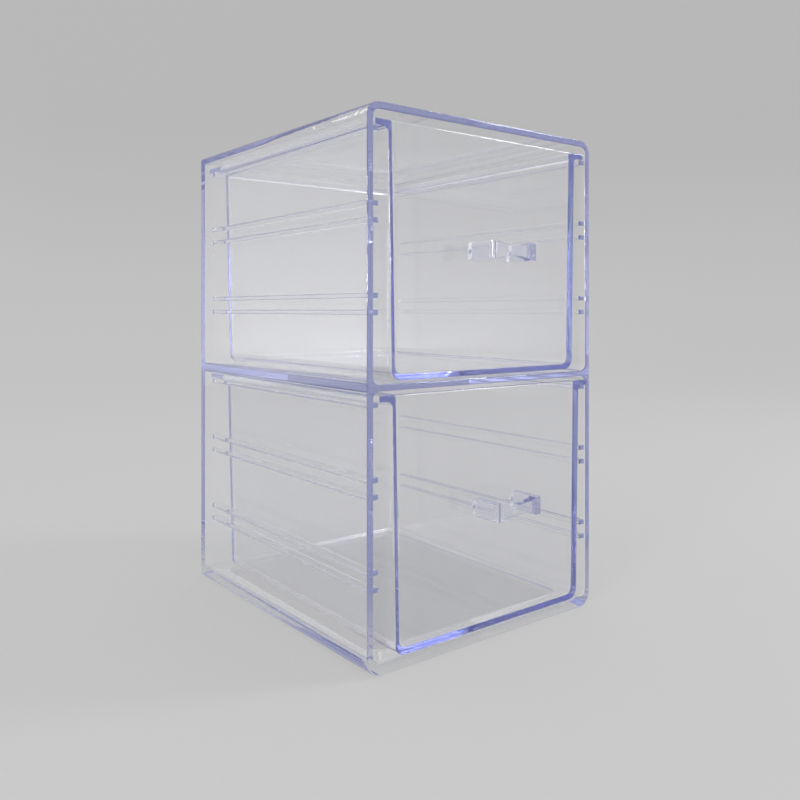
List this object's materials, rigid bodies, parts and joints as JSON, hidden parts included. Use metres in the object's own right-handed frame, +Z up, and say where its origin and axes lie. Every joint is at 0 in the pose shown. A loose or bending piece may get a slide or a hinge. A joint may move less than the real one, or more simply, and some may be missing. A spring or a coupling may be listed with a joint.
{
  "type": "two-drawer organizer",
  "caption": "Clear plastic desktop organizer: an open-fronted casing with a shelf and moulded runners, and above and below the shelf a hanging drawer with a bow handle.",
  "frame": {"origin": "Middle of the bounding box in X and Y, on the plane that the casing stands on. The lower handle stands forward of the casing, so the middle of the casing lies behind the origin.", "axes": "+X to the right as the drawers are faced, +Y to the back, +Z up. The drawers open towards -Y."},
  "size_m": [0.14, 0.1834, 0.238],
  "materials": {
    "clear_casing": "polished clear plastic with a faint lavender-blue tint",
    "clear_drawer": "polished clear plastic with a faint lavender-blue tint",
    "clear_handle": "polished clear plastic with a faint lavender-blue tint"
  },
  "bodies": {
    "casing": {"casing": "clear_casing"},
    "lower_tray": {"lower_drawer": "clear_drawer", "lower_handle": "clear_handle"},
    "upper_tray": {"upper_drawer": "clear_drawer", "upper_handle": "clear_handle"}
  },
  "joints": [
    {"name": "lower_drawer_slide", "type": "slide", "parent": "casing", "child": "lower_tray", "axis": [0, -1, 0], "range_m": [-0.0028, 0.12]},
    {"name": "upper_drawer_slide", "type": "slide", "parent": "casing", "child": "upper_tray", "axis": [0, -1, 0], "range_m": [0, 0.12]}
  ]
}
